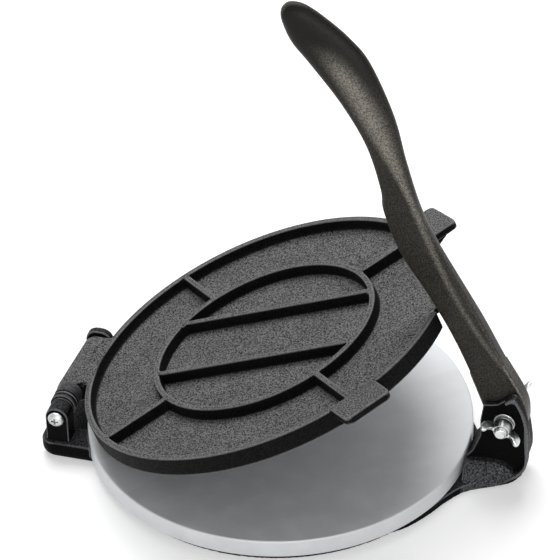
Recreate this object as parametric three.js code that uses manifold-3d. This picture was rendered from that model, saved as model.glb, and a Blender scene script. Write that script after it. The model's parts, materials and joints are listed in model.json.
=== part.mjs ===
// Tortilla press: a round ribbed top plate hinged over a bright lower plate, with an upright lever.
// Millimetres, +Z up, +X from the hinge towards the lever, origin on the table at the plates' centre.
import * as THREE from "three";
import { mergeVertices } from "three/addons/utils/BufferGeometryUtils.js";
import Module from "manifold-3d";

// Fits shared by every piece
const seatGap = 0.3;
const boreClearance = 0.3;
const overrun = 3;
const roundSteps = 80;
const smallRoundSteps = 20;

// Plates
const plateRadius = 130;
const pressGap = 0.7;
const edgeRound = 1.2;

// Base casting
const baseHeight = 5.7;
const baseInset = 5.5;
const deckThickness = 2.8;
const baseWall = 6;
const baseHubRadius = 24;
const baseRibWidth = 5;
const baseRibCount = 6;

// Lower plate
const lowerThickness = 13.3;
const lowerFloor = 6;
const lowerWall = 9;
const bossRadius = 8;

// Screws that hold the lower plate on the base, from below
const plateScrewCount = 3;
const plateScrewTurn = 60;
const plateScrewInset = 58;
const plateScrewRadius = 2.5;
const plateScrewHeadRadius = 5;
const plateScrewHeadHeight = 2.2;
const plateScrewLength = 9;

// Top plate
const topThickness = 14.1;
const topFloor = 5;
const rimWidth = 4.5;
const floorFillet = 3;
const ringInnerRadius = 75.5;
const ribWidth = 4;
const ribHeight = 8.9;
const ribRound = 0.8;
const barSpacing = 55.5;
const barShift = 2.5;
const ribAngle = 45;
const openAngle = 22.1;

// Lifting tabs on the top plate
const tabWidth = 35;
const nearTabLength = 18.6;
const farTabLength = 20.4;
const nearTabAngle = 43.8;
const farTabAngle = 46;
const tabThickness = 6;
const tabCornerRadius = 4;
const tabRootDepth = 24;
const tabEdgeRound = 1.3;

// Notch that lets the plate's front edge pass the lever
const notchDepth = 9.5;
const notchWidth = 18;

// Hinge arm, hinge lugs and hinge screw
const hingeOffset = 8.9;
const hingeHeight = 33.5;
const armNear = -28.5;
const armFar = 28;
const armFlare = 5.5;
const armRise = 4.6;
const armCrest = 2;
const noseNearReach = 9.4;
const noseFarReach = 6.6;
const noseNearRound = 2.4;
const noseFarRound = 4.6;
const armEndRound = 1.6;
const lugThickness = 13.2;
const lugRadius = 7.8;
const collarWidth = 16;
const collarRadius = 8.8;
const collarGroove = 1.1;
const collarRingWidth = 3.2;
const farLugThickness = 5.5;
const farLugRadius = 7.6;
const farLugLength = 3.2;
const hingeScrewRadius = 3.2;
const hingeHeadRadius = 5.6;
const hingeHeadHeight = 3.6;
const crossSlotWidth = 1.5;
const crossSlotLength = 6.4;
const crossSlotDepth = 1.7;
const hingeNutRadius = 5.4;
const hingeNutThickness = 3.2;
const shoulderHeight = 14;
const footReach = 5.1;
const footCornerRadius = 9;
const footEdgeRound = 1.2;
const footUndercut = 4.5;
const footUndercutHeight = 8;
const footMargin = 2.6;
const footLength = 42;

// Lever
const pivotInset = 16.4;
const pivotHeight = 53;
const leverReach = 326;
const leverThickness = 12;
const leverEdgeRound = 3;
const pivotBossRadius = 14;
const heelThickness = 16;
const heelDrop = 14;
const heelOffset = 3;
const bossFaceRadius = 11;
const leverInnerShares = [
  [-0.078, 0.097], [-0.119, 0.19], [-0.169, 0.28], [-0.223, 0.367], [-0.257, 0.461],
  [-0.263, 0.512], [-0.291, 0.609], [-0.339, 0.698], [-0.401, 0.783], [-0.436, 0.828], [-0.457, 0.876],
];
const leverOuterShares = [
  [0.035, 0.048], [-0.008, 0.128], [-0.054, 0.222], [-0.106, 0.318],
  [-0.151, 0.403], [-0.183, 0.48], [-0.21, 0.579], [-0.235, 0.686], [-0.281, 0.8], [-0.321, 0.851],
  [-0.369, 0.891], [-0.409, 0.917],
];
const leverTipShares = [-0.448, 0.918];

// Bracket that carries the lever
const slotClearance = 1.5;
const cheekThickness = 3.4;
const rimDepth = 4.6;
const rimBand = 2.5;
const farCheekThickness = 8;
const nearCheekShares = [
  [0.01, 0.02], [0.023, 0.261], [0.116, 0.333], [0.239, 0.528], [0.234, 0.706], [0.281, 0.894],
  [0.4, 0.905], [0.51, 0.925], [0.62, 0.985],
];
const nearCheekOuterShares = [
  [0.69, 1.025], [0.78, 1.04], [0.86, 0.97], [0.94, 0.85], [0.985, 0.73], [1, 0.583], [1, 0.417],
  [0.99, 0.299], [0.954, 0.225], [0.877, 0.16], [0.745, 0.09], [0.457, 0],
];
const farCheekShares = [
  [0.01, 0.02], [0.023, 0.261], [0.116, 0.333], [0.239, 0.528], [0.234, 0.706], [0.281, 0.97],
  [0.36, 1.06],
];
const farCheekOuterShares = [
  [0.527, 1.072], [0.694, 1], [0.74, 0.92], [0.805, 0.833], [0.861, 0.649], [0.914, 0.465],
  [0.942, 0.278], [0.9, 0.16], [0.745, 0.06], [0.457, 0],
];
const bracketLength = 43.4;
const bracketHeight = 72;
const stopBlockGap = 2.5;
const stopBlockHeight = 36;
const stopBlockNeck = 8;
const stopBlockRoot = 15;
const buttressWidth = 13;
const buttressTipWidth = 2.6;
const buttressHeight = 14.5;
const buttressTipHeight = 19.5;
const buttressLength = 37;
const buttressSteps = 9;
const tongueShares = [
  [0.72, 0.62], [0.815, 0.54], [0.9, 0.415], [0.955, 0.31], [1.035, 0.2], [1.15, 0.135], [1.245, 0.075],
];
const tongueTipShare = 1.285;

// Lever bolt, washers and wing nut
const boltRadius = 4;
const boltNearReach = 25;
const boltHeadRadius = 7.4;
const boltHeadThickness = 4.5;
const flatWasherThickness = 1.5;
const flatWasherRadius = 7.2;
const springWasherThickness = 2;
const springWasherRadius = 6.4;
const springWasherSplit = 1.4;
const springWasherLean = 20;
const nutHeight = 7;
const nutBaseRadius = 6.5;
const nutTopRadius = 5.3;
const wingReach = 14.4;
const wingThickness = 2.6;
const wingHeight = 12.5;
const wingRootShare = 0.36;
const wingOffset = 0.7;
const nutWingAngle = -22;
const headWingAngle = -38;
const headWingReach = 13.5;
const headWingHeight = 7;

// Sizes that follow from the ones above
const lowerBottom = baseHeight + seatGap;
const lowerTop = lowerBottom + lowerThickness;
const topBottom = lowerTop + pressGap;
const topTop = topBottom + topThickness;
const plateScrewCircle = plateRadius - plateScrewInset;
const hingeX = -plateRadius - hingeOffset;
const ringOuterRadius = ringInnerRadius + ribWidth;
const floorTop = topBottom + topFloor;
const bracketReach = plateRadius + bracketLength;
const pivotX = bracketReach - pivotInset;
const stopBlockFace = pivotX + heelOffset - heelThickness / 2 - stopBlockGap;
const cheekInner = leverThickness / 2 + slotClearance;
const cheekOuter = cheekInner + cheekThickness;
const farCheekOuter = cheekInner + farCheekThickness;
const collarNear = armNear - seatGap - collarWidth;
const lugNear = collarNear - seatGap - lugThickness;
const farLugInner = armFar + seatGap;
const farLugOuter = farLugInner + farLugThickness;

const wasm = await Module();
wasm.setup();

// A closed three.js geometry as a solid, with shared corners and faces pointing out
function solid(geometry) {
  const bare = geometry.index ? geometry.clone() : geometry;
  bare.deleteAttribute("normal");
  bare.deleteAttribute("uv");
  const merged = mergeVertices(bare);
  const places = merged.attributes.position.array;
  const corners = merged.index.array;
  const kept = [];
  let volume = 0;
  const a = new THREE.Vector3();
  const b = new THREE.Vector3();
  const c = new THREE.Vector3();
  for (let i = 0; i < corners.length; i += 3) {
    const [p, q, r] = [corners[i], corners[i + 1], corners[i + 2]];
    const flat = p === q || q === r || r === p;
    if (!flat) {
      kept.push(p, q, r);
      a.fromArray(places, 3 * p);
      b.fromArray(places, 3 * q);
      c.fromArray(places, 3 * r);
      volume += a.dot(b.cross(c));
    }
  }
  if (volume < 0) kept.reverse();
  return new wasm.Manifold(new wasm.Mesh({
    numProp: 3,
    vertProperties: new Float32Array(places),
    triVerts: new Uint32Array(kept),
  }));
}

// The first solid joined with all the others
function join(first, ...others) {
  return others.reduce((whole, piece) => whole.add(piece), first);
}

// The first solid with all the others cut away
function cut(first, ...others) {
  return others.reduce((whole, piece) => whole.subtract(piece), first);
}

function moved(piece, x, y, z) {
  return piece.translate([x, y, z]);
}

// A solid turned about the upright axis, in degrees
function turned(piece, degrees) {
  return piece.rotate([0, 0, degrees]);
}

// An outline in the XZ plane, drawn along Y from one face to the other
function wall(shape, near, far, round = 0) {
  const depth = far - near - 2 * round;
  const geometry = new THREE.ExtrudeGeometry(shape, {
    depth,
    curveSegments: 8,
    bevelEnabled: round > 0,
    bevelThickness: round,
    bevelSize: round,
    bevelOffset: -round,
    bevelSegments: 2,
  });
  geometry.rotateX(Math.PI / 2);
  geometry.translate(0, far - round, 0);
  return solid(geometry);
}

// An outline in the XY plane, drawn upwards from one level to the other
function slab(shape, bottom, top, round = 0) {
  const geometry = new THREE.ExtrudeGeometry(shape, {
    depth: top - bottom - 2 * round,
    curveSegments: 8,
    bevelEnabled: round > 0,
    bevelThickness: round,
    bevelSize: round,
    bevelOffset: -round,
    bevelSegments: 2,
  });
  geometry.translate(0, 0, bottom + round);
  return solid(geometry);
}

// A profile of [radius, height] pairs, turned about the upright axis
function revolved(profile, steps = roundSteps) {
  const points = profile.map(([radius, height]) => new THREE.Vector2(radius, height));
  const geometry = new THREE.LatheGeometry(points, steps);
  geometry.rotateX(Math.PI / 2);
  return solid(geometry);
}

// A profile of [radius, place along Y] pairs, turned about a line along Y
function turnedAlongY(profile, x, z, steps = smallRoundSteps) {
  const points = profile.map(([radius, along]) => new THREE.Vector2(radius, along));
  const geometry = new THREE.LatheGeometry(points, steps);
  geometry.translate(x, 0, z);
  return solid(geometry);
}

function roundBar(radius, near, far, x, z, steps = smallRoundSteps) {
  return turnedAlongY([[0, near], [radius, near], [radius, far], [0, far]], x, z, steps);
}

function upright(radius, bottom, top, steps = smallRoundSteps) {
  return revolved([[0, bottom], [radius, bottom], [radius, top], [0, top]], steps);
}

function ringAlongY(inner, outer, near, far, x, z) {
  return turnedAlongY([[inner, near], [outer, near], [outer, far], [inner, far], [inner, near]], x, z);
}

function box(x0, x1, y0, y1, z0, z1) {
  const geometry = new THREE.BoxGeometry(x1 - x0, y1 - y0, z1 - z0);
  geometry.translate((x0 + x1) / 2, (y0 + y1) / 2, (z0 + z1) / 2);
  return solid(geometry);
}

// A rectangle with round corners
function roundedRectangle(x0, x1, y0, y1, radius) {
  const shape = new THREE.Shape();
  shape.moveTo(x0 + radius, y0);
  shape.lineTo(x1 - radius, y0);
  shape.absarc(x1 - radius, y0 + radius, radius, -Math.PI / 2, 0);
  shape.lineTo(x1, y1 - radius);
  shape.absarc(x1 - radius, y1 - radius, radius, 0, Math.PI / 2);
  shape.lineTo(x0 + radius, y1);
  shape.absarc(x0 + radius, y1 - radius, radius, Math.PI / 2, Math.PI);
  shape.lineTo(x0, y0 + radius);
  shape.absarc(x0 + radius, y0 + radius, radius, Math.PI, 1.5 * Math.PI);
  return shape;
}

// A skin over rings of equally many points, closed by a fan at each end
function lofted(rings) {
  const count = rings[0].length;
  const places = rings.flat(2);
  const corners = [];
  for (let i = 0; i + 1 < rings.length; i++) {
    for (let j = 0; j < count; j++) {
      const here = i * count + j;
      const next = i * count + (j + 1) % count;
      corners.push(here, next, next + count, here, next + count, here + count);
    }
  }
  const last = (rings.length - 1) * count;
  for (let j = 1; j + 1 < count; j++) {
    corners.push(0, j + 1, j);
    corners.push(last, last + j, last + j + 1);
  }
  const geometry = new THREE.BufferGeometry();
  geometry.setAttribute("position", new THREE.BufferAttribute(new Float32Array(places), 3));
  geometry.setIndex(corners);
  return solid(geometry);
}

// A smooth curve through points, as a list of points
function smooth(points, steps) {
  return new THREE.SplineCurve(points.map(([x, y]) => new THREE.Vector2(x, y))).getPoints(steps);
}

function mesh(name, piece, finish) {
  const { vertProperties, triVerts } = piece.getMesh();
  const geometry = new THREE.BufferGeometry();
  geometry.setAttribute("position", new THREE.BufferAttribute(vertProperties, 3));
  geometry.setIndex(new THREE.BufferAttribute(triVerts, 1));
  geometry.computeVertexNormals();
  const made = new THREE.Mesh(geometry, new THREE.MeshStandardMaterial(finish));
  made.name = name;
  return made;
}

const blackCast = { color: 0x2b2b2c, roughness: 0.62, metalness: 0.3 };
const blackPaint = { color: 0x1c1c1d, roughness: 0.5, metalness: 0.2 };
const bronzeBlack = { color: 0x2a2826, roughness: 0.45, metalness: 0.35 };
const paleSilver = { color: 0xcdd1d3, roughness: 0.38, metalness: 0.75 };
const zinc = { color: 0xc9cbcc, roughness: 0.25, metalness: 0.95 };

function plateScrewAngle(index) {
  return plateScrewTurn + index * 360 / plateScrewCount;
}

function onScrewCircle(piece, index) {
  return turned(moved(piece, plateScrewCircle, 0, 0), plateScrewAngle(index));
}

// Base: a shallow ribbed disc under the lower plate
function baseDisc() {
  const radius = plateRadius - baseInset;
  const disc = upright(radius, 0, baseHeight, roundSteps);
  const hollowTop = baseHeight - deckThickness;
  const hollow = revolved([
    [baseHubRadius, -overrun], [radius - baseWall, -overrun],
    [radius - baseWall, hollowTop], [baseHubRadius, hollowTop], [baseHubRadius, -overrun],
  ]);
  const ribs = [];
  for (let i = 0; i < baseRibCount; i++) {
    const rib = box(0, radius - baseWall / 2, -baseRibWidth / 2, baseRibWidth / 2, 0, baseHeight);
    ribs.push(turned(rib, (i + 0.5) * 360 / baseRibCount));
  }
  return join(cut(disc, hollow), ...ribs);
}

// Base: the outline of the tongue that runs out under the lever, the same on both sides
function tongue() {
  const side = tongueShares.map(([x, y]) => [x * plateRadius, y * plateRadius]);
  const curve = smooth([...side, [tongueTipShare * plateRadius, 0]], 20);
  const nearSide = curve.map((point) => new THREE.Vector2(point.x, -point.y));
  const farSide = curve.slice(0, -1).reverse();
  return slab(new THREE.Shape([...nearSide, ...farSide]), 0, baseHeight);
}

function cheekPlace([x, z]) {
  const root = plateRadius + seatGap;
  return new THREE.Vector2(root + x * (bracketReach - root), z * bracketHeight);
}

// A cheek's outline, drawn inwards by a band when its recess is cut
function cheekOutline(webShares, outerShares, band) {
  const rising = webShares.map(cheekPlace);
  const falling = outerShares.map(cheekPlace);
  const outer = smooth([rising.at(-1), ...falling].map((point) => [point.x, point.y]), 24);
  const whole = [...rising.slice(0, -1), ...outer];
  if (!band) return new THREE.Shape(whole);
  const middle = new THREE.Vector2();
  whole.forEach((point) => middle.add(point));
  middle.divideScalar(whole.length);
  const inner = outer.map((point) => {
    const inward = middle.clone().sub(point);
    return point.clone().addScaledVector(inward.normalize(), band);
  });
  const beyond = rising.slice(0, -1).map((point) => new THREE.Vector2(point.x - overrun, point.y));
  beyond.at(-1).y += overrun;
  inner[0].y += overrun;
  return new THREE.Shape([...beyond, ...inner]);
}

// A convex buttress between the tongue and the near cheek, narrowing and rising outwards
function buttress() {
  const start = plateRadius + seatGap;
  const rings = [];
  for (let i = 0; i <= buttressSteps; i++) {
    const share = i / buttressSteps;
    const width = THREE.MathUtils.lerp(buttressWidth, buttressTipWidth, share ** 1.3);
    const rise = THREE.MathUtils.lerp(buttressHeight, buttressTipHeight, share);
    const height = rise * Math.sqrt(1.02 - share ** 4);
    const x = start + share * buttressLength;
    const ring = [];
    for (let j = 0; j <= 8; j++) {
      const angle = j / 8 * Math.PI / 2;
      ring.push([x, -cheekOuter - width * Math.cos(angle), baseHeight / 2 + height * Math.sin(angle)]);
    }
    ring.push([x, -cheekInner - cheekThickness / 2, baseHeight / 2 + height]);
    ring.push([x, -cheekInner - cheekThickness / 2, baseHeight / 2]);
    rings.push(ring);
  }
  return lofted(rings);
}

// Base: a near cheek with a raised rim round its recess, a plain far cheek and a stop block between them
function leverBracket() {
  const nearOutline = cheekOutline(nearCheekShares, nearCheekOuterShares, 0);
  const recessOutline = cheekOutline(nearCheekShares, nearCheekOuterShares, rimBand);
  const near = cut(wall(nearOutline, -cheekOuter - rimDepth, -cheekInner),
    wall(recessOutline, -cheekOuter - rimDepth - overrun, -cheekOuter));
  const far = wall(cheekOutline(farCheekShares, farCheekOuterShares, 0), cheekInner, farCheekOuter);
  const root = plateRadius + seatGap;
  const stop = new THREE.Shape();
  stop.moveTo(root, 0);
  stop.lineTo(stopBlockFace, 0);
  stop.lineTo(stopBlockFace, stopBlockHeight);
  stop.lineTo(stopBlockFace - stopBlockNeck, stopBlockHeight);
  stop.lineTo(root, stopBlockRoot);
  const block = wall(stop, -cheekInner - seatGap, cheekInner + seatGap);
  const kept = wall(nearOutline, -cheekOuter - 2 * buttressWidth, -cheekInner);
  return join(near, far, block, buttress().intersect(kept));
}

// The side view of a hinge lug, straight down into the foot, its round top drawn out by a length
function lugOutline(radius, length) {
  const shape = new THREE.Shape();
  shape.moveTo(hingeX + length + radius, footUndercutHeight);
  shape.lineTo(hingeX + length + radius, hingeHeight);
  shape.absarc(hingeX + length, hingeHeight, radius, 0, Math.PI / 2);
  shape.absarc(hingeX, hingeHeight, radius, Math.PI / 2, Math.PI);
  shape.lineTo(hingeX - radius, footUndercutHeight);
  return shape;
}

// A part of the foot between two places along Y: drawn in below, round at the top edge
function footBlock(near, far, corner, height) {
  const level = (z, inset) => roundedRectangle(hingeX - lugRadius - footReach + inset, hingeX + footLength,
    near + inset, far - inset, corner).getPoints(4).map((point) => [point.x, point.y, z]);
  const rings = [];
  for (let i = 0; i < 4; i++) {
    const share = i / 4;
    rings.push(level(share * footUndercutHeight, footUndercut * (1 - Math.sqrt(1 - (1 - share) ** 2))));
  }
  rings.push(level(footUndercutHeight, 0));
  if (height > footUndercutHeight) {
    rings.push(level(height - footEdgeRound, 0), level(height - footEdgeRound / 3, footEdgeRound / 3));
    rings.push(level(height, footEdgeRound));
  }
  return lofted(rings);
}

// Base: the two hinge lugs on one foot with round corners, with a shoulder round each lug
function hingeBracket() {
  const near = wall(lugOutline(lugRadius, 0), lugNear, lugNear + lugThickness);
  const far = wall(lugOutline(farLugRadius, farLugLength), farLugInner, farLugOuter);
  const nearSide = lugNear - footMargin;
  const farSide = farLugOuter + footMargin;
  const foot = footBlock(nearSide, farSide, footCornerRadius, 0);
  const low = box(hingeX - footLength, hingeX + 2 * footLength, nearSide - overrun, farSide + overrun,
    -overrun, baseHeight);
  const shoulderFar = lugNear + lugThickness + footMargin;
  const nearShoulder = footBlock(nearSide, shoulderFar + 3 * footUndercut, footCornerRadius, shoulderHeight);
  const farShoulder = footBlock(farLugInner - 3 * footUndercut, farSide, footCornerRadius / 2,
    shoulderHeight);
  const between = box(hingeX - footLength, hingeX + 2 * footLength, shoulderFar, farLugInner,
    baseHeight, shoulderHeight + overrun);
  const shoulders = cut(join(nearShoulder, farShoulder), between);
  return join(foot.intersect(low), shoulders, near, far);
}

function baseCasting() {
  const seat = upright(plateRadius + seatGap, baseHeight, topTop, roundSteps);
  const body = cut(join(baseDisc(), tongue(), hingeBracket()), seat);
  const screwHoles = [];
  for (let i = 0; i < plateScrewCount; i++) {
    const hole = upright(plateScrewRadius + boreClearance, -overrun, baseHeight + overrun);
    screwHoles.push(onScrewCircle(hole, i));
  }
  const hingeBore = roundBar(hingeScrewRadius + boreClearance, lugNear - overrun, farLugOuter + overrun,
    hingeX, hingeHeight);
  const plateSeat = upright(plateRadius + seatGap, baseHeight, lowerTop + overrun, roundSteps);
  const bracket = cut(leverBracket(), plateSeat);
  const leverBore = roundBar(boltRadius + boreClearance, -cheekOuter - overrun, farCheekOuter + overrun,
    pivotX, pivotHeight);
  return cut(join(body, bracket), ...screwHoles, hingeBore, leverBore);
}

// The bright plate that the dough lies on, hollow underneath with a hub and screw bosses
function lowerPlate() {
  const hollowTop = lowerTop - lowerFloor;
  const disc = revolved([
    [0, lowerBottom], [baseHubRadius, lowerBottom], [baseHubRadius, hollowTop],
    [plateRadius - lowerWall, hollowTop], [plateRadius - lowerWall, lowerBottom],
    [plateRadius - edgeRound, lowerBottom], [plateRadius, lowerBottom + edgeRound],
    [plateRadius, lowerTop - edgeRound], [plateRadius - edgeRound / 3, lowerTop - edgeRound / 3],
    [plateRadius - edgeRound, lowerTop], [0, lowerTop],
  ]);
  const bosses = [];
  const holes = [];
  for (let i = 0; i < plateScrewCount; i++) {
    bosses.push(onScrewCircle(upright(bossRadius, lowerBottom, hollowTop + seatGap), i));
    const depth = plateScrewLength - deckThickness;
    const hole = upright(plateScrewRadius + boreClearance, lowerBottom - overrun, lowerBottom + depth);
    holes.push(onScrewCircle(hole, i));
  }
  return cut(join(disc, ...bosses), ...holes);
}

// A screw with a domed head in the base's hollow and its shank up into the lower plate
function plateScrew(index) {
  const headTop = baseHeight - deckThickness - seatGap;
  const shankTop = headTop + plateScrewLength;
  const screw = revolved([
    [0, headTop - plateScrewHeadHeight], [plateScrewHeadRadius * 0.6, headTop - plateScrewHeadHeight],
    [plateScrewHeadRadius, headTop - plateScrewHeadHeight / 2], [plateScrewHeadRadius, headTop],
    [plateScrewRadius, headTop], [plateScrewRadius, shankTop - plateScrewRadius / 2],
    [plateScrewRadius / 2, shankTop], [0, shankTop],
  ], smallRoundSteps);
  return onScrewCircle(screw, index);
}

// Top plate: a dish with a raised rim and a filleted floor
function topDish() {
  const inner = plateRadius - rimWidth;
  return revolved([
    [0, topBottom], [plateRadius - edgeRound, topBottom], [plateRadius, topBottom + edgeRound],
    [plateRadius, topTop - edgeRound], [plateRadius - edgeRound, topTop],
    [inner + edgeRound / 2, topTop], [inner, topTop - edgeRound / 2],
    [inner - floorFillet * 0.12, floorTop + floorFillet],
    [inner - floorFillet * 0.45, floorTop + floorFillet * 0.35],
    [inner - floorFillet * 1.2, floorTop], [0, floorTop],
  ]);
}

// Top plate: ring rib, two bars inside it and four ribs out to the rim
function topRibs() {
  const top = floorTop + ribHeight;
  const base = floorTop - seatGap;
  const ring = revolved([
    [ringInnerRadius, base], [ringOuterRadius, base], [ringOuterRadius, top - ribRound],
    [ringOuterRadius - ribRound, top], [ringInnerRadius + ribRound, top],
    [ringInnerRadius, top - ribRound], [ringInnerRadius, base],
  ]);
  const outline = new THREE.Shape();
  outline.moveTo(-ribWidth / 2, base);
  outline.lineTo(ribWidth / 2, base);
  outline.lineTo(ribWidth / 2, top - ribRound);
  outline.lineTo(ribWidth / 2 - ribRound, top);
  outline.lineTo(-ribWidth / 2 + ribRound, top);
  outline.lineTo(-ribWidth / 2, top - ribRound);
  const middle = (ringInnerRadius + ringOuterRadius) / 2;
  const halfBar = Math.sqrt(middle ** 2 - (barSpacing / 2) ** 2);
  const bar = turned(wall(outline, -halfBar, halfBar), 90);
  const rib = turned(wall(outline, middle, plateRadius - rimWidth / 2), -90);
  const ribs = [ribAngle, 180 - ribAngle, 180 + ribAngle, 360 - ribAngle].map((angle) => turned(rib, angle));
  const bars = [1, -1].map((side) => moved(bar, 0, barShift + side * barSpacing / 2, 0));
  return join(ring, ...bars, ...ribs);
}

// Top plate: one lifting tab, reaching out along +X before it is turned to its place
function liftingTab(reach) {
  const root = reach - tabRootDepth;
  const plan = roundedRectangle(root, reach, -tabWidth / 2, tabWidth / 2, tabCornerRadius);
  const tab = slab(plan, topTop - tabThickness, topTop, tabEdgeRound);
  const gusset = new THREE.Shape();
  gusset.moveTo(root, topTop - tabThickness);
  gusset.lineTo(root, topBottom + edgeRound);
  gusset.lineTo(plateRadius, topBottom + edgeRound);
  gusset.lineTo(reach - tabCornerRadius, topTop - tabThickness);
  const ribs = [-1, 1].map((side) => {
    const middle = side * (tabWidth / 2 - tabCornerRadius);
    return wall(gusset, middle - ribWidth / 2, middle + ribWidth / 2);
  });
  const keptOutside = upright(plateRadius - rimWidth / 2, -overrun, topTop + overrun, roundSteps);
  return cut(join(tab, ...ribs), keptOutside);
}

// An arc in a section of the hinge arm, from one angle to another in degrees
function armArc(x, z, radius, from, to, y) {
  const steps = 5;
  const points = [];
  for (let i = 0; i <= steps; i++) {
    const angle = THREE.MathUtils.degToRad(THREE.MathUtils.lerp(from, to, i / steps));
    points.push([x + radius * Math.cos(angle), y, z + radius * Math.sin(angle)]);
  }
  return points;
}

// One section of the hinge arm: up from the rim over a flat crest to a round nose beyond the screw
function armSection(y, reach, round, inset) {
  const start = -plateRadius + rimWidth;
  const rootY = Math.max(y, armNear + armFlare);
  const bottom = topBottom + edgeRound + inset;
  const crest = topTop + armRise - inset;
  const nose = reach - inset;
  return [
    [start, rootY, topTop - inset], [start, rootY, bottom], [-plateRadius, rootY, bottom],
    ...armArc(hingeX, hingeHeight, nose, 270, 180, y),
    ...armArc(hingeX - nose + round, crest - round, round, 180, 90, y),
    [hingeX + armCrest, y, crest],
  ];
}

// Top plate: the arm from the rim to the hinge screw, tapering towards the far side
function hingeArm() {
  const arm = lofted([
    armSection(armNear, noseNearReach, noseNearRound, armEndRound / 2),
    armSection(armNear + armEndRound / 2, noseNearReach, noseNearRound, 0),
    armSection(armNear + armFlare, noseNearReach, noseNearRound, 0),
    armSection(armFar - 3 * armEndRound, noseFarReach, noseFarRound, 0),
    armSection(armFar - armEndRound, noseFarReach, noseFarRound, armEndRound / 4),
    armSection(armFar, noseFarReach, noseFarRound, armEndRound),
  ]);
  const recess = upright(plateRadius - rimWidth, floorTop, topTop + overrun, roundSteps);
  return cut(arm, recess);
}

function topPlate() {
  const near = turned(liftingTab(plateRadius + nearTabLength), -nearTabAngle);
  const far = turned(liftingTab(plateRadius + farTabLength), farTabAngle);
  const whole = join(topDish(), topRibs(), near, far, hingeArm());
  const notch = box(plateRadius - notchDepth, plateRadius + overrun, -notchWidth / 2, notchWidth / 2,
    topBottom - overrun, topTop + overrun);
  const bore = roundBar(hingeScrewRadius + boreClearance, armNear - overrun, armFar + overrun,
    hingeX, hingeHeight);
  return moved(cut(whole, notch, bore), -hingeX, 0, -hingeHeight);
}

// A cross recess in a screw head that faces -Y
function crossSlot(face, x, z) {
  const arm = box(-crossSlotLength / 2, crossSlotLength / 2, face - overrun, face + crossSlotDepth,
    -crossSlotWidth / 2, crossSlotWidth / 2);
  return moved(join(arm, arm.rotate([0, 90, 0])), x, 0, z);
}

function hingeScrew() {
  const headFace = lugNear - seatGap;
  const tip = headFace - hingeHeadHeight;
  const end = farLugOuter + seatGap + hingeNutThickness + edgeRound / 2;
  const screw = turnedAlongY([
    [0, tip], [hingeHeadRadius * 0.5, tip + hingeHeadHeight * 0.08],
    [hingeHeadRadius * 0.86, tip + hingeHeadHeight * 0.4], [hingeHeadRadius, tip + hingeHeadHeight * 0.75],
    [hingeHeadRadius, headFace], [hingeScrewRadius, headFace], [hingeScrewRadius, end - edgeRound],
    [hingeScrewRadius - edgeRound / 2, end], [0, end],
  ], hingeX, hingeHeight);
  return cut(screw, crossSlot(tip, hingeX, hingeHeight));
}

// A turned spacer between the arm and the near lug, with two grooves beside the lug
function hingeCollar() {
  const bore = hingeScrewRadius + boreClearance;
  const profile = [[bore, collarNear], [collarRadius, collarNear]];
  for (const count of [1, 2]) {
    const place = collarNear + count * collarRingWidth;
    profile.push([collarRadius, place - collarGroove], [collarRadius - collarGroove, place],
      [collarRadius, place + collarGroove]);
  }
  const collarFar = collarNear + collarWidth;
  profile.push([collarRadius, collarFar], [bore, collarFar], [bore, collarNear]);
  return turnedAlongY(profile, hingeX, hingeHeight);
}

function hingeNut() {
  const near = farLugOuter + seatGap;
  const far = near + hingeNutThickness;
  const nut = ringAlongY(hingeScrewRadius + boreClearance, hingeNutRadius, near, far, 0, 0);
  const flats = 6;
  const across = hingeNutRadius * Math.cos(Math.PI / flats);
  const corners = [];
  for (let i = 0; i < flats; i++) {
    const angle = (i + 0.5) * 2 * Math.PI / flats;
    corners.push(new THREE.Vector2(hingeNutRadius * Math.cos(angle), hingeNutRadius * Math.sin(angle)));
  }
  const prism = wall(new THREE.Shape(corners), near - overrun, far + overrun);
  const chamfer = turnedAlongY([
    [0, near], [hingeNutRadius, near], [hingeNutRadius, far - hingeNutRadius + across],
    [across, far], [0, far],
  ], 0, 0);
  return moved(nut.intersect(prism).intersect(chamfer), hingeX, 0, hingeHeight);
}

// The lever's side view about its pivot, from the heel up the outer edge, over the tip and down
function leverOutline() {
  const scaled = ([x, z]) => [x * leverReach, z * leverReach];
  const tip = [leverTipShares, leverInnerShares.at(-1)];
  const foot = [[pivotBossRadius * 0.9, -heelDrop * 0.7], [pivotBossRadius, 0]];
  const outer = smooth([...foot, ...[...leverOuterShares, ...tip].map(scaled)], 46);
  const inner = smooth(leverInnerShares.map(scaled).reverse(), 20).slice(1);
  const shape = new THREE.Shape([...outer, ...inner]);
  const heelInner = heelOffset + heelThickness / 2 - heelThickness;
  const meets = Math.asin(heelInner / pivotBossRadius);
  shape.lineTo(-pivotBossRadius, 0);
  shape.absarc(0, 0, pivotBossRadius, Math.PI, 1.5 * Math.PI + meets);
  shape.lineTo(heelInner, -heelDrop);
  shape.absarc(heelOffset, -heelDrop, heelThickness / 2, Math.PI, 2 * Math.PI);
  return shape;
}

// A flat cast lever with rounded edges, a swelling grip, a waist and a heel below the pivot
function lever() {
  const half = leverThickness / 2;
  const blade = wall(leverOutline(), -half, half, leverEdgeRound);
  const face = cheekInner - seatGap;
  const boss = roundBar(bossFaceRadius, -face, face, 0, 0);
  const bore = roundBar(boltRadius + boreClearance, -face - overrun, face + overrun, 0, 0);
  return cut(join(blade, boss), bore);
}

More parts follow.
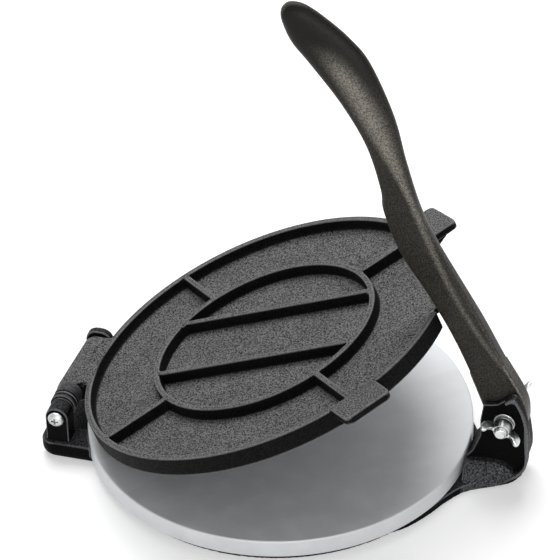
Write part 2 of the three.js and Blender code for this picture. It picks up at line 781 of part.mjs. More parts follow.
// One wing in the plane of the turning axis, swept outwards and away from the hub
function wing(reach, near, height) {
  const outline = new THREE.Shape();
  const root = near - height * wingRootShare;
  outline.moveTo(boltRadius + boreClearance + wingOffset, near);
  outline.lineTo(boltRadius + boreClearance + wingOffset, root);
  outline.quadraticCurveTo(reach * 0.72, root, reach * 0.8, near - height * 0.82);
  outline.quadraticCurveTo(reach * 0.87, near - height, reach * 0.94, near - height * 0.94);
  outline.quadraticCurveTo(reach * 1.04, near - height * 0.72, reach * 0.93, near - height * 0.4);
  outline.quadraticCurveTo(reach * 0.8, near, nutBaseRadius * 0.8, near);
  return slab(outline, -wingThickness / 2, wingThickness / 2);
}

function wingPair(reach, near, height, degrees) {
  const one = wing(reach, near, height);
  const both = join(one, one.rotate([0, 180, 0]));
  return both.rotate([0, -degrees, 0]);
}

// Bolt from the far side with a winged head, through both cheeks and the lever
function leverBolt() {
  const headNear = farCheekOuter + seatGap + flatWasherThickness + seatGap;
  const headFar = headNear + boltHeadThickness;
  const shank = turnedAlongY([
    [0, -boltNearReach], [boltRadius - edgeRound / 2, -boltNearReach],
    [boltRadius, -boltNearReach + edgeRound],
    [boltRadius, headNear], [boltHeadRadius, headNear], [boltHeadRadius * 0.82, headFar], [0, headFar],
  ], 0, 0);
  const pair = wingPair(headWingReach, -headNear - wingOffset, headWingHeight, headWingAngle);
  const wings = pair.rotate([0, 0, 180]);
  return join(shank, wings);
}

function flatWasher(near) {
  return ringAlongY(boltRadius + boreClearance, flatWasherRadius, near, near + flatWasherThickness, 0, 0);
}

// A split ring, pressed flat, with its ends cut on a lean
function springWasher() {
  const far = -cheekOuter - 2 * seatGap - flatWasherThickness;
  const near = far - springWasherThickness;
  const ring = ringAlongY(boltRadius + boreClearance, springWasherRadius, near, far, 0, 0);
  const split = box(-springWasherSplit / 2, springWasherSplit / 2, -springWasherThickness - overrun,
    springWasherThickness + overrun, 0, springWasherRadius + overrun).rotate([0, 0, springWasherLean]);
  return cut(ring, moved(split, 0, (near + far) / 2, 0));
}

function wingNut() {
  const far = -cheekOuter - 3 * seatGap - flatWasherThickness - springWasherThickness;
  const near = far - nutHeight;
  const hub = turnedAlongY([
    [0, near], [nutTopRadius, near], [nutBaseRadius, far - nutHeight / 3], [nutBaseRadius, far], [0, far],
  ], 0, 0);
  const wings = wingPair(wingReach, far - wingOffset, wingHeight, nutWingAngle);
  const bore = roundBar(boltRadius + boreClearance, near - wingHeight, far + overrun, 0, 0);
  return cut(join(hub, wings), bore);
}

const press = new THREE.Group();
press.add(mesh("base_casting", baseCasting(), blackPaint));
press.add(mesh("lower_plate", lowerPlate(), paleSilver));
for (let i = 0; i < plateScrewCount; i++) {
  press.add(mesh(`plate_screw_${i + 1}`, plateScrew(i), zinc));
}
press.add(mesh("hinge_screw", hingeScrew(), zinc));
press.add(mesh("hinge_collar", hingeCollar(), blackPaint));
press.add(mesh("hinge_nut", hingeNut(), zinc));

const plateSwing = new THREE.Group();
plateSwing.position.set(hingeX, 0, hingeHeight);
plateSwing.rotation.y = -THREE.MathUtils.degToRad(openAngle);
plateSwing.add(mesh("top_plate", topPlate(), blackCast));
press.add(plateSwing);

const leverPivot = new THREE.Group();
leverPivot.position.set(pivotX, 0, pivotHeight);
leverPivot.add(mesh("lever", lever(), bronzeBlack));
leverPivot.add(mesh("lever_bolt", leverBolt(), zinc));
leverPivot.add(mesh("far_washer", flatWasher(farCheekOuter + seatGap), zinc));
leverPivot.add(mesh("near_washer", flatWasher(-cheekOuter - seatGap - flatWasherThickness), zinc));
leverPivot.add(mesh("spring_washer", springWasher(), zinc));
leverPivot.add(mesh("wing_nut", wingNut(), zinc));
press.add(leverPivot);

export default press;
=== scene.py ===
"""A hand tortilla press: the looks of every piece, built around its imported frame.

Metres, +Z up, +X from the hinge towards the lever, origin on the table at the plates' centre.
"""

import json
from math import asin, atan2, ceil, copysign, cos, degrees, dist, pi, radians, sin, sqrt

import bmesh
import bpy
import numpy as np
from mathutils import Matrix, Vector


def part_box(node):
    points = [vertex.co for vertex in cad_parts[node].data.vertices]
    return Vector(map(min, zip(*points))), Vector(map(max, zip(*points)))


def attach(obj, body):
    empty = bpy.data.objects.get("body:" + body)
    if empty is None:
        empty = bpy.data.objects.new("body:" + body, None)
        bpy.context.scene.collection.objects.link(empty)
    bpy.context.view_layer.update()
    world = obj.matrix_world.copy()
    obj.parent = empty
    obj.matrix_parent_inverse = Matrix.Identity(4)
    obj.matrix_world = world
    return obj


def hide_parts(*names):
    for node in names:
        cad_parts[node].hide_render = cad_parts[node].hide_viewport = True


bl_info = {
    "name": "Tortilla press",
    "version": (1, 0, 0),
    "blender": (4, 5, 0),
    "location": "3D View > Sidebar > Press",
    "description": "Builds a ribbed hand tortilla press with its hinge, lever bracket and fastenings",
    "category": "Add Mesh",
}

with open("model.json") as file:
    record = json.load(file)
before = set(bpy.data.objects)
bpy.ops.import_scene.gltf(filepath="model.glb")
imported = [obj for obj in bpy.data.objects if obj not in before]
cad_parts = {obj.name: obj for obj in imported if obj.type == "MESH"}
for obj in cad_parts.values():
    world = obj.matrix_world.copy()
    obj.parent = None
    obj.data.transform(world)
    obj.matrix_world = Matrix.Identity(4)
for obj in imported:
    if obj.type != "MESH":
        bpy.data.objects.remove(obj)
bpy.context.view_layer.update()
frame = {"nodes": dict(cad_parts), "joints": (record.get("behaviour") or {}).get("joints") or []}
LOWER_LOW, LOWER_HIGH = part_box("lower_plate")
LEVER_LOW, LEVER_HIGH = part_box("lever")
COLLAR_LOW, COLLAR_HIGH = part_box("hinge_collar")
AXES = {joint["name"]: Vector(joint["pos_m"]) for joint in frame["joints"]}
HINGE = AXES["plate_hinge"]
PIVOT = AXES["lever_swing"]
# Gap between seated faces, and how far a rib or boss sinks into the floor that it stands on
SEAT_GAP = 0.0003
# Gap between the closed plates
PRESS_GAP = 0.0007
# Points nearer to each other than this are taken as one
TOUCHING = 0.000002
# Radius of a turned profile's first and last point, beside the axis
AXIS = 0.0001
# Size of the grain that sand leaves on a casting
CAST_GRAIN = 0.0011
# Pointiness at which an edge begins to be painted paler, and at which it wholly is: partly edge wear, partly
# painted highlight where edges catch the light
EDGE_WEAR_AND_SHEEN = (0.512, 0.536)


def number(name, description, default, **more):
    return bpy.props.FloatProperty(name=name, description=description, default=default, **more)


def length(name, description, default):
    return number(name, description, default, min=0, unit="LENGTH", precision=5)


def place(name, description, default):
    return number(name, description, default, unit="LENGTH", precision=5)


def angle(name, description, degrees):
    return number(name, description, radians(degrees), subtype="ANGLE")


def power(name, description, default):
    return number(name, description, default, min=0, unit="POWER")


def colour(name, description, default):
    return bpy.props.FloatVectorProperty(
        name=name, description=description, default=default, size=3, min=0, max=1, subtype="COLOR"
    )


class PlateSizes(bpy.types.PropertyGroup):
    radius: length("Plate radius", "Outer radius of both round plates", LOWER_HIGH.x)
    edge_round: length("Edge round", "Rounding along the plates' outer edges", 0.0014)
    lower_floor: length("Lower floor", "Thickness of the lower plate over its hollow", 0.006)
    lower_wall: length("Lower wall", "Width of the lower plate's rim seen from below", 0.009)
    hub_radius: length("Hub radius", "Radius of the lower plate's hub", 0.024)
    boss_radius: length("Boss radius", "Radius of the lower plate's screw bosses", 0.008)
    top_thickness: length("Top thickness", "Height of the top plate's rim", 0.0141)
    top_floor: length("Top floor", "Thickness of the top plate's floor", 0.005)
    rim_width: length("Rim width", "Width of the top plate's rim", 0.0045)
    rim_fillet: length("Rim fillet", "Fillet at the rim's inner foot", 0.0042)
    open_angle: angle("Open angle", "How far the top plate stands open at rest", 22.1)
    notch_depth: length("Notch depth", "Depth of the notch for the lever", 0.0095)
    notch_width: length("Notch width", "Width of the notch for the lever", 0.018)


class RibSizes(bpy.types.PropertyGroup):
    ring_radius: length("Ring radius", "Inner radius of the ring rib", 0.0755)
    width: length("Rib width", "Width of the ring, bars and ribs at the top", 0.004)
    height: length("Rib height", "Height of the ribs over the floor", 0.0089)
    foot: length("Rib foot", "How far a rib's fillet reaches out on the floor", 0.0016)
    bar_spacing: length("Bar spacing", "Distance between the two bars", 0.0555)
    bar_shift: place("Bar shift", "How far the bars lie towards the far side", 0.0025)
    spoke_angle: angle("Spoke angle", "Angle of the ribs between ring and rim", 45)
    web: length("Corner web", "Reach of the webs where ribs meet", 0.0022)


class TabSizes(bpy.types.PropertyGroup):
    near_length: length("Near tab", "How far the near tab stands out from the rim", 0.0186)
    far_length: length("Far tab", "How far the far tab stands out from the rim", 0.0204)
    near_angle: angle("Near tab angle", "Place of the near tab on the rim", 43.8)
    far_angle: angle("Far tab angle", "Place of the far tab on the rim", 46)
    width: length("Tab width", "Width of a tab", 0.035)
    thickness: length("Tab thickness", "Thickness of a tab", 0.006)
    corner: length("Tab corner", "Corner radius of a tab", 0.005)


class ArmSizes(bpy.types.PropertyGroup):
    near: place("Near end", "Near end of the hinge arm", -0.0285)
    far: place("Far end", "Far end of the hinge arm", 0.028)
    flare: length("Flare", "How far the arm narrows from its near end to its root", 0.0055)
    rise: length("Rise", "Height of the arm's crest over the rim", 0.0046)
    crest: length("Crest", "How far the flat crest reaches past the screw", 0.002)
    near_reach: length("Near nose", "Reach of the arm beyond the screw at its near end", 0.0094)
    far_reach: length("Far nose", "Reach of the arm beyond the screw at its far end", 0.0066)
    near_round: length("Near round", "Rounding of the nose at the near end", 0.0024)
    far_round: length("Far round", "Rounding of the nose at the far end", 0.0046)
    end_round: length("End round", "Rounding of the arm's ends", 0.0016)


class LeverSizes(bpy.types.PropertyGroup):
    reach: length("Reach", "Length that the lever's outline is drawn to", 0.326)
    thickness: length("Thickness", "Thickness of the lever", 0.012)
    boss_radius: length("Boss radius", "Radius of the lever's foot", 0.014)
    face_radius: length("Face radius", "Radius of the raised face round the bolt", 0.011)
    heel_thickness: length("Heel thickness", "Thickness of the heel", 0.016)
    heel_drop: length("Heel drop", "How far the heel reaches below the bolt", 0.014)
    heel_offset: place("Heel offset", "How far the heel stands outwards", 0.003)


class FastenerSizes(bpy.types.PropertyGroup):
    bore_gap: length("Bore gap", "Play round each screw and bolt", 0.0003)
    screw_radius: length("Screw radius", "Radius of the hinge screw", 0.0032)
    screw_head: length("Screw head", "Radius of the hinge screw's head", 0.0056)
    bolt_radius: length("Bolt radius", "Radius of the lever bolt", 0.004)
    thread_pitch: length("Thread pitch", "Distance between two turns of thread", 0.00125)
    nut_base: length("Nut base", "Radius of the wing nut at its base", 0.0065)
    nut_top: length("Nut top", "Radius of the wing nut at its outer end", 0.0053)
    nut_height: length("Nut height", "Height of the wing nut's hub", 0.007)
    wing_reach: length("Wing reach", "Reach of the wing nut's wings", 0.0144)
    wing_height: length("Wing height", "How far the wings stand off", 0.0125)
    wing_thickness: length("Wing thickness", "Thickness of a wing", 0.0026)
    wing_angle: angle("Wing angle", "Turn of the wing nut", -22)
    head_wing_reach: length("Head wing reach", "Reach of the wings on the bolt's head", 0.0135)
    head_wing_height: length("Head wing height", "How far the head's wings stand off", 0.007)
    head_wing_angle: angle("Head wing angle", "Turn of the bolt's head", -38)
    head_radius: length("Head radius", "Radius of the bolt's head", 0.0074)
    plate_screw_radius: length("Plate screw", "Radius of a plate screw", 0.0025)


class FinishColours(bpy.types.PropertyGroup):
    # Painted light: the grey of the top plate's upward faces, standing for light from above
    top_lit_grain: colour("Top grain", "Worn grain on the top plate's upward faces", (0.088, 0.088, 0.088))
    # Partly the black coating, partly painted shade that keeps the walls nearly black
    top_black: colour("Top black", "Black coating in the top plate's walls", (0.0045, 0.0045, 0.0046))
    # Partly the black coating, partly painted shade on the base's walls and in its gaps
    base_black: colour("Base black", "Black coating of the base casting", (0.003, 0.003, 0.0032))
    # Painted light: grey for upward faces and the bracket rim's lit face, and paler edges that are partly
    # wear, partly painted highlight
    base_lit_grey: colour("Base grey", "Rubbed grey on the base casting's edges", (0.075, 0.076, 0.08))
    lever_black: colour("Lever black", "Dark ground of the lever's powder coat", (0.006, 0.0055, 0.0047))
    lever_bronze: colour("Lever bronze", "Lighter grain of the lever's powder coat", (0.056, 0.0515, 0.0445))
    silver: colour("Silver", "Pale satin metal of the lower plate", (0.82, 0.84, 0.86))
    zinc: colour("Zinc", "Bright zinc of screws, bolt and washers", (0.72, 0.73, 0.73))


class StageSettings(bpy.types.PropertyGroup):
    floor: colour("Floor", "Colour of the plain floor", (0.86, 0.86, 0.86))
    surround: number("Surround", "Strength of the even light from all round", 0.26, min=0)
    key: power("Key light", "Power of the large lamp above and behind", 32)
    fill: power("Fill light", "Power of the soft lamp in front", 5)
    side: power("Side light", "Power of the small low lamp on the near side", 9)


# Outlines and closed parts. A part is a list of points and a list of faces.


def eased(corners, steps=5):
    """A closed outline whose corners, given as (x, y, setback), are rounded by their setback"""
    points = []
    count = len(corners)
    for i, (x, y, setback) in enumerate(corners):
        here = Vector((x, y))
        if setback == 0:
            points.append(here)
            continue
        before = Vector(corners[i - 1][:2]) - here
        after = Vector(corners[(i + 1) % count][:2]) - here
        start = here + before.normalized() * min(setback, before.length / 2)
        end = here + after.normalized() * min(setback, after.length / 2)
        for k in range(steps + 1):
            t = k / steps
            points.append(start * (1 - t) ** 2 + here * 2 * t * (1 - t) + end * t**2)
    return [(point.x, point.y) for point in points]


def spline(points, steps):
    """A smooth curve through points, with equally many steps from each to the next"""
    ends = [points[0], *points, points[-1]]
    curve = []
    for a, b, c, d in zip(ends, ends[1:], ends[2:], ends[3:]):
        a, b, c, d = (np.array(p, float) for p in (a, b, c, d))
        for k in range(steps):
            t = k / steps
            square, cube = 2 * a - 5 * b + 4 * c - d, 3 * b - a - 3 * c + d
            curve.append(0.5 * (2 * b + (c - a) * t + square * t**2 + cube * t**3))
    return [tuple(p) for p in curve] + [tuple(points[-1])]


def resampled(points, count):
    """Points at equal steps along a line of points"""
    points = np.array(points)
    steps = np.r_[0, np.cumsum(np.linalg.norm(np.diff(points, axis=0), axis=1))]
    at = np.linspace(0, steps[-1], count)
    return np.stack([np.interp(at, steps, points[:, axis]) for axis in (0, 1)], 1)


def arc(x, y, radius, start, end, steps):
    """Points on an arc, from one angle to another in degrees"""
    turns = np.radians(np.linspace(start, end, steps + 1))
    return [(x + radius * cos(t), y + radius * sin(t)) for t in turns]


def inset(outline, amount):
    """A counterclockwise outline drawn inwards by an amount"""
    points = np.array(outline)
    along = np.roll(points, -1, 0) - np.roll(points, 1, 0)
    along /= np.linalg.norm(along, axis=1)[:, None]
    return points + amount * np.stack([-along[:, 1], along[:, 0]], 1)


def skin(rings, ring_shaped=False):
    """Faces over rings of equally many points, with a cap at each end or closed on themselves"""
    count = len(rings[0])
    points = [tuple(point) for ring in rings for point in ring]
    faces = []
    for i in range(len(rings) if ring_shaped else len(rings) - 1):
        k = (i + 1) % len(rings)
        for j in range(count):
            n = (j + 1) % count
            faces.append((i * count + j, i * count + n, k * count + n, k * count + j))
    if not ring_shaped:
        faces.append(tuple(range(count))[::-1])
        faces.append(tuple(range(len(points) - count, len(points))))
    return points, faces


def whole_turn(steps):
    return np.linspace(0, 2 * pi, steps, endpoint=False)


def lathe(profile, steps, ring_shaped=False):
    """A profile of (radius, height) turned about the upright axis"""
    rings = [[(r * cos(t), r * sin(t), h) for t in whole_turn(steps)] for r, h in profile]
    return skin(rings, ring_shaped)


def rod(radius, low, high, steps):
    return lathe([(radius, low), (radius, high)], steps)


def dome(radius, crown, rise, steps):
    """Profile of a domed head, from its crown to its rim"""
    turns = np.radians(np.linspace(1, 90, steps))
    return [(radius * sin(t), crown + rise * (1 - cos(t))) for t in turns]


def clamped(value):
    return min(1.0, max(0.0, value))


def slab(outline, low, high, edge=0.0, steps=4):
    """An outline drawn upwards from one level to the other, with rounded edges"""
    levels = [(low, 0)]
    if edge:
        turns = [pi / 2 * k / steps for k in range(steps + 1)]
        levels = [(low + edge * (1 - sin(t)), edge * (1 - cos(t))) for t in turns[::-1]]
    mirrored = [(low + high - z, amount) for z, amount in reversed(levels)]
    rings = []
    for z, amount in [*levels, *mirrored]:
        ring = inset(outline, amount) if amount else np.array(outline)
        rings.append([(x, y, z) for x, y in ring])
    return skin(rings)


def shifted(part, matrix):
    points, faces = part
    return [tuple(matrix @ Vector(point)) for point in points], faces


def along_y(part):
    """A part made along the upright axis, laid along Y"""
    return shifted(part, Matrix.Rotation(radians(-90), 4, "X"))


def wall(outline, near, far, edge=0.0):
    """An outline in the XZ plane, drawn along Y"""
    return shifted(slab(outline, -far, -near, edge), Matrix.Rotation(radians(90), 4, "X"))


def moved(part, x, y, z):
    return shifted(part, Matrix.Translation((x, y, z)))


def turned(part, turn, axis="Z"):
    return shifted(part, Matrix.Rotation(turn, 4, axis))


def rib_section(width, foot, low, high, ease=0.0008):
    """Half-widths and heights over a rib's section, wide at the foot and rounded at the top"""
    half = width / 2
    right = [(half + foot, low), (half + foot * 0.45, low + foot * 0.3), (half + foot * 0.12, low + foot),
             (half, high - ease), (half - ease * 0.3, high - ease * 0.3), (half - ease, high)]
    return right + [(-x, z) for x, z in right[::-1]]


def to_mesh(name, parts, in_triangles=False):
    """One mesh of all parts, each closed with its faces pointing out. Bent faces cut cleanly in triangles"""
    points, faces = [], []
    for part_points, part_faces in parts:
        start = len(points)
        points += part_points
        faces += [tuple(start + corner for corner in face) for face in part_faces]
    mesh = bpy.data.meshes.new(name)
    mesh.from_pydata(points, [], faces)
    work = bmesh.new()
    work.from_mesh(mesh)
    bmesh.ops.recalc_face_normals(work, faces=work.faces)
    if in_triangles:
        bmesh.ops.remove_doubles(work, verts=work.verts, dist=TOUCHING)
        bmesh.ops.dissolve_degenerate(work, edges=work.edges, dist=TOUCHING)
        bmesh.ops.triangulate(work, faces=work.faces)
        bmesh.ops.recalc_face_normals(work, faces=work.faces)
    work.to_mesh(mesh)
    work.free()
    return mesh


def to_object(name, mesh):
    made = bpy.data.objects.new(name, mesh)
    bpy.context.scene.collection.objects.link(made)
    return made


def settled(piece):
    """The piece's mesh with all its modifiers worked in"""
    bpy.context.view_layer.update()
    shaped = bpy.data.meshes.new_from_object(piece.evaluated_get(bpy.context.evaluated_depsgraph_get()))
    piece.modifiers.clear()
    old, piece.data = piece.data, shaped
    shaped.name = piece.name
    bpy.data.meshes.remove(old)
    return piece


def carved(part, *blades):
    """A closed part with the other parts cut away"""
    whole, *cutters = (to_object("cut", to_mesh("cut", [one], True)) for one in (part, *blades))
    for cutter in cutters:
        cut = whole.modifiers.new("Cut", "BOOLEAN")
        cut.operation = "DIFFERENCE"
        cut.solver = "EXACT"
        cut.object = cutter
    settled(whole)
    result = [tuple(v.co) for v in whole.data.vertices], [tuple(f.vertices) for f in whole.data.polygons]
    for spent in [whole, *cutters]:
        mesh = spent.data
        bpy.data.objects.remove(spent)
        bpy.data.meshes.remove(mesh)
    return result


def cast(piece, voxel, passes):
    """Modifiers that join all of a piece's parts into one skin with soft edges, as a casting has"""
    join = piece.modifiers.new("Join", "REMESH")
    join.mode = "VOXEL"
    join.voxel_size = voxel * 1
    join.use_smooth_shade = True
    soften = piece.modifiers.new("Soften", "SMOOTH")
    soften.factor = 0.5
    soften.iterations = passes
    return piece


def casting(name, parts, voxel, passes):
    return settled(cast(to_object(name, to_mesh(name, parts)), voxel, passes))


def machined(name, parts, sharp=32):
    """A piece from crisp parts, smooth but for edges sharper than an angle in degrees"""
    mesh = to_mesh(name, parts)
    mesh.polygons.foreach_set("use_smooth", [True] * len(mesh.polygons))
    mesh.set_sharp_from_angle(angle=radians(sharp))
    return to_object(name, mesh)


def finish_piece(piece, material, body, slot, *nodes):
    """Gives a piece its finish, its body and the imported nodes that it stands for"""
    piece.data.materials.clear()
    piece.data.materials.append(material)
    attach(piece, body)
    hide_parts(*nodes)


def zinc_piece(name, parts, axis, material, body, node, sharp=32):
    """A crisp zinc piece, made round the origin and moved to its axis"""
    piece = machined(name, [moved(part, *axis) for part in parts], sharp)
    finish_piece(piece, material, body, "zinc", node)


# Finishes


class Socket:
    """A shader value that can be written in sums and products"""

    def __init__(self, graph, socket):
        self.graph = graph
        self.socket = socket

    def __add__(self, other):
        return self.graph.calculate("ADD", self, other)

    def __sub__(self, other):
        return self.graph.calculate("SUBTRACT", self, other)

    def __rsub__(self, other):
        return self.graph.calculate("SUBTRACT", other, self)

    def __mul__(self, other):
        return self.graph.calculate("MULTIPLY", self, other)

    def __truediv__(self, other):
        return self.graph.calculate("DIVIDE", self, other)

    __radd__ = __add__
    __rmul__ = __mul__


class Graph:
    """The nodes of a material or of the world, all added by one method"""

    def __init__(self, owner):
        self.owner = owner
        owner.use_nodes = True
        self.nodes = owner.node_tree.nodes
        self.shader = next(node for node in self.nodes if node.type in ("BSDF_PRINCIPLED", "BACKGROUND"))

    def feed(self, node, sockets):
        for key, value in sockets.items():
            if isinstance(value, Socket):
                self.owner.node_tree.links.new(value.socket, node.inputs[key])
            else:
                node.inputs[key].default_value = value

    def node(self, kind, settings=None, sockets=None, output=0):
        made = self.nodes.new("ShaderNode" + kind)
        for key, value in (settings or {}).items():
            setattr(made, key, value)
        self.feed(made, sockets or {})
        return Socket(self, made.outputs[output])

    def place(self):
        return self.node("TexCoord", output="Object")

    def along(self, axis, vector=None):
        """One coordinate of a vector, or of the place on the piece"""
        return self.node("SeparateXYZ", sockets={0: vector or self.place()}, output="xyz".index(axis))

    def noise(self, size, detail=2.0, roughness=0.5):
        """Noise whose features have a size in metres"""
        return self.node("TexNoise", sockets={
            "Vector": self.place(), "Scale": 1 / size, "Detail": detail, "Roughness": roughness})

    def ease(self, value, low, high, start=0.0, end=1.0):
        """A value brought smoothly from one range to another"""
        return self.node("MapRange", {"interpolation_type": "SMOOTHSTEP"}, {
            0: value, 1: low, 2: high, 3: start, 4: end})

    def calculate(self, operation, *values):
        return self.node("Math", {"operation": operation}, dict(enumerate(values)))

    def larger(self, first, second):
        return self.calculate("MAXIMUM", first, second)

    def mix(self, share, first, second):
        colours = {0: share, 6: opaque(first), 7: opaque(second)}
        return self.node("Mix", {"data_type": "RGBA"}, colours, output=2)

    def upward(self, low, high):
        """1 on faces that point up in the piece's own frame, 0 on walls"""
        return self.ease(self.along("z", self.node("TexCoord", output="Normal")), low, high)

    def wear_and_sheen(self):
        """1 along edges that stand out, 0 on faces and in hollows; used as edge wear and painted highlight
        """
        return self.ease(self.node("NewGeometry", output="Pointiness"), *EDGE_WEAR_AND_SHEEN)

    def bump(self, height, depth):
        return self.node("Bump", sockets={"Height": height, "Distance": depth})


def opaque(value):
    return value if isinstance(value, Socket) else (*value, 1)


def scaled(tint, amount):
    return [part * amount for part in tint]


def sand_cast(name, black, grey, depth, low=0.45, high=0.93, top_light=1.0, rough=0.62, gloss=0.05, raised=None):
    """Black coating over a sand casting with painted light: grain painted grey on upward faces as if lit
    from above, edges painted paler as wear and painted highlight, and walls left nearly black as painted
    shade
    """
    graph = Graph(bpy.data.materials.new(name))
    coarse = graph.noise(CAST_GRAIN, 3.0, 0.7)
    fine = graph.noise(CAST_GRAIN * 0.4, 2.0, 0.7)
    cloud = graph.noise(0.03, 3.0, 0.55)
    speck = graph.ease(coarse * 0.7 + fine * 0.3, 0.41, 0.6)
    # Painted light: upward faces lighter as if lit from above, broken up by a cloud
    painted_top_light = graph.upward(low, high) * graph.ease(cloud, 0.3, 0.7, 0.84, 1.06) * top_light
    # Edges painted paler: partly edge wear, partly painted highlight
    edge = graph.wear_and_sheen() * 0.9 * graph.ease(coarse, 0.3, 0.55, 0.45, 1.0)
    # raised adds more painted light, such as the lit face of the bracket's rim
    if raised:
        painted_top_light = graph.larger(painted_top_light, raised(graph))
    # Shaded and lit copies of the grain: dim is painted shade on the walls, lit is painted light on upward
    # faces
    dim = graph.mix(speck, scaled(black, 0.4), scaled(black, 2.2))
    lit = graph.mix(speck, scaled(grey, 0.15), scaled(grey, 2.6))
    graph.feed(graph.shader, {
        "Base Color": graph.mix(edge, graph.mix(painted_top_light, dim, lit), scaled(grey, 2.4)),
        "Roughness": graph.ease(speck, 0, 1, rough + 0.1, rough - 0.1),
        "Specular IOR Level": gloss,
        "Normal": graph.bump(coarse * 0.6 + fine * 0.4, depth),
    })
    return graph.owner


def powder_coat(name, black, bronze, ridge_highlight, tip):
    """Dark powder coat with a fine leathery grain, with a painted highlight down the grip and painted shade
    darker at its tip
    """
    graph = Graph(bpy.data.materials.new(name))
    hide = graph.node("TexVoronoi", {"feature": "SMOOTH_F1"}, {
        "Vector": graph.place(), "Scale": 900, "Smoothness": 0.6})
    fine = graph.noise(0.0007, 3.0, 0.7)
    cloud = graph.noise(0.05, 2.0, 0.5)
    grain = graph.ease(hide * 0.4 + fine * 0.7, 0.33, 0.68)
    # Edges painted paler, partly wear and partly painted highlight, and the painted highlight down the grip
    wear_and_sheen = graph.larger(graph.wear_and_sheen() * 0.5, ridge_highlight(graph))
    # Painted shade: the bronze grain fades towards the grip's end, broken up by a cloud
    rest = graph.ease(cloud, 0.3, 0.7, 0.8, 1.0) * tip(graph)
    ground = graph.mix(grain * rest, black, bronze)
    # Colour of the painted highlight, and of bare metal on worn edges
    wear_and_sheen_colour = graph.mix(grain, scaled(bronze, 1.6), scaled(bronze, 10))
    graph.feed(graph.shader, {
        "Base Color": graph.mix(wear_and_sheen, ground, wear_and_sheen_colour),
        "Roughness": graph.ease(fine, 0.3, 0.7, 0.42, 0.3),
        "Specular IOR Level": 0.13,
        "Normal": graph.bump(hide * 0.6 + fine * 0.5, 0.00022),
    })
    return graph.owner


def satin_metal(name, tint, rough, size, depth, metallic=1.0, dull=0.93):
    """Metal with a soft uneven satin surface, brighter in random clouds and, as a painted highlight, along
    its edges
    """
    graph = Graph(bpy.data.materials.new(name))
    cloud = graph.noise(size * 14, 3.0, 0.55)
    fine = graph.noise(size, 3.0, 0.6)
    edge_sheen_and_cloud = graph.larger(graph.wear_and_sheen(), graph.ease(cloud, 0.35, 0.75))
    graph.feed(graph.shader, {
        "Base Color": graph.mix(edge_sheen_and_cloud, scaled(tint, dull), tint),
        "Metallic": metallic,
        "Roughness": graph.ease(cloud * 0.6 + fine * 0.4, 0.3, 0.7, rough - 0.06, rough + 0.08),
        "Normal": graph.bump(fine, depth),
    })
    return graph.owner


# Pieces


def plate_levels(plates):
    """The top plate's underside, floor and rim height, as it lies closed"""
    low = LOWER_HIGH.z + PRESS_GAP
    return low, low + plates.top_floor, low + plates.top_thickness


def dish(plates):
    """The top plate's floor and rim, with its notch for the lever"""
    low, floor, high = plate_levels(plates)
    radius, inner = plates.radius, plates.radius - plates.rim_width
    edge, fillet = plates.edge_round, plates.rim_fillet
    profile = eased([
        (AXIS, low, 0), (radius, low, edge), (radius, high, edge), (inner, high, edge * 0.7),
        (inner - 0.0002, floor, fillet), (AXIS, floor, 0),
    ])
    half = plates.notch_width / 2
    start, end = radius - plates.notch_depth, radius + plates.rim_width
    notch = eased([(start, -half, 0.002), (end, -half, 0), (end, half, 0), (start, half, 0.002)])
    return carved(lathe(profile, 288), slab(notch, 0, 2 * high))


def rib_parts(plates, ribs):
    """The ring, the two bars in it, the four spokes out to the rim, and webs in their corners"""
    _, floor, _ = plate_levels(plates)
    section = rib_section(ribs.width, ribs.foot, floor - SEAT_GAP, floor + ribs.height)
    middle = ribs.ring_radius + ribs.width / 2
    ring = lathe([(middle + x, z) for x, z in section], 240, ring_shaped=True)
    parts = [ring]
    half_gap = ribs.bar_spacing / 2
    half_bar = sqrt(middle**2 - half_gap**2)
    for side in (1, -1):
        y = ribs.bar_shift + side * half_gap
        parts.append(skin([[(x, y + across, z) for across, z in section] for x in (-half_bar, half_bar)]))
        for end in (1, -1):
            inner = sqrt(ribs.ring_radius**2 - y**2)
            for face in (1, -1):
                parts.append(corner_web((end * inner, y + face * ribs.width / 2), (-end, 0),
                                        (-end * y * face, inner * face), ribs, floor))
    outer = plates.radius - plates.rim_width / 2
    for quarter in range(4):
        turn = ribs.spoke_angle if quarter % 2 == 0 else pi - ribs.spoke_angle
        turn += pi * (quarter // 2)
        spoke = skin([[(x, across, z) for across, z in section] for x in (middle, outer)])
        webs = [corner_web((at, face * ribs.width / 2), (way, 0), (0, face), ribs, floor)
                for at, way in ((ribs.ring_radius + ribs.width, 1), (plates.radius - plates.rim_width, -1))
                for face in (1, -1)]
        parts += [turned(part, turn) for part in [spoke, *webs]]
    return parts


def corner_web(corner, along, across, ribs, floor):
    """A small upright web that fills the corner where two ribs meet, with a hollow face"""
    corner, along, across = (Vector(v) for v in (corner, along, across))
    a = corner + along.normalized() * ribs.web
    b = corner + across.normalized() * ribs.web
    hollow = [a * (1 - t) ** 2 + (corner * 0.8 + (a + b) * 0.1) * 2 * t * (1 - t) + b * t**2
              for t in np.linspace(0, 1, 6)]
    back = corner - (along.normalized() + across.normalized()) * ribs.width * 0.3
    outline = [tuple(p) for p in hollow] + [tuple(back)]
    return slab(outline, floor - SEAT_GAP, floor + ribs.height - 0.0004)


